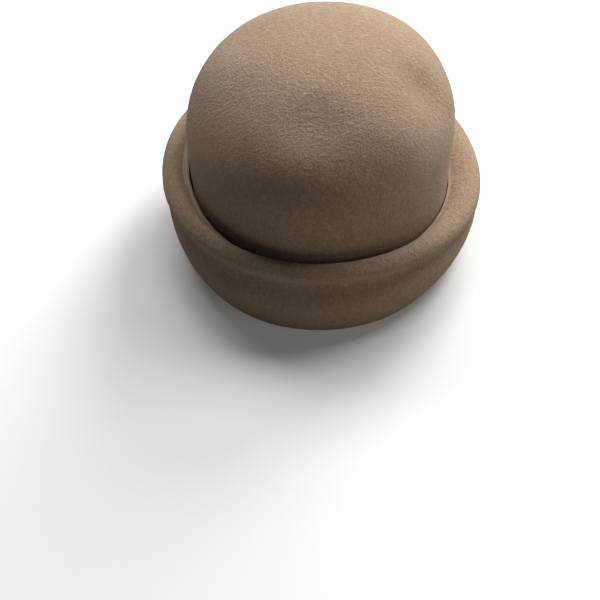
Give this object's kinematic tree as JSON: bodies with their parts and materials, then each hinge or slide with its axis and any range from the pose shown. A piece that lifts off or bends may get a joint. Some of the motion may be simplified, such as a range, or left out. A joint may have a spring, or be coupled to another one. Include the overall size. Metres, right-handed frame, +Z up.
{
  "type": "bowler hat",
  "caption": "Soft wool felt bowler hat with a domed crown and a brim turned up all round into a rolled lip, with a ribbon sweatband inside.",
  "frame": {"origin": "middle of the hat's outer box, on the surface that the bottom fold of the brim stands on", "axes": "+Z up through the crown, +Y towards the front of the wearer, +X towards the wearer's right"},
  "size_m": [0.2118, 0.2362, 0.1434],
  "materials": {
    "felt": "camel wool felt, short brushed nap, fully matt",
    "ribbon": "brown grosgrain ribbon with fine cross ribs",
    "thread": "twisted polyester sewing thread",
    "satin": "cream woven satin label, blank",
    "wire": "drawn steel millinery wire"
  },
  "bodies": {
    "hat": {"felt_body": "felt", "brim_wire": "wire", "wire_sleeve": "wire", "wire_whip_stitches": "thread", "sweatband": "ribbon", "sweatband_seam": "thread", "sweatband_join_stitches": "thread", "bow_loops": "ribbon", "bow_wrap": "ribbon", "bow_tacks": "thread", "size_label_strip": "satin", "size_label_stitches": "thread", "maker_patch": "satin", "maker_patch_stitches": "thread"},
    "size_label": {"size_label": "satin"}
  },
  "joints": [
    {"name": "size_label_lift", "type": "hinge", "parent": "hat", "child": "size_label", "pos_m": [-0.079, -0.00125, 0.0267], "axis": [0, -1, 0], "range_deg": [0, 110]}
  ]
}
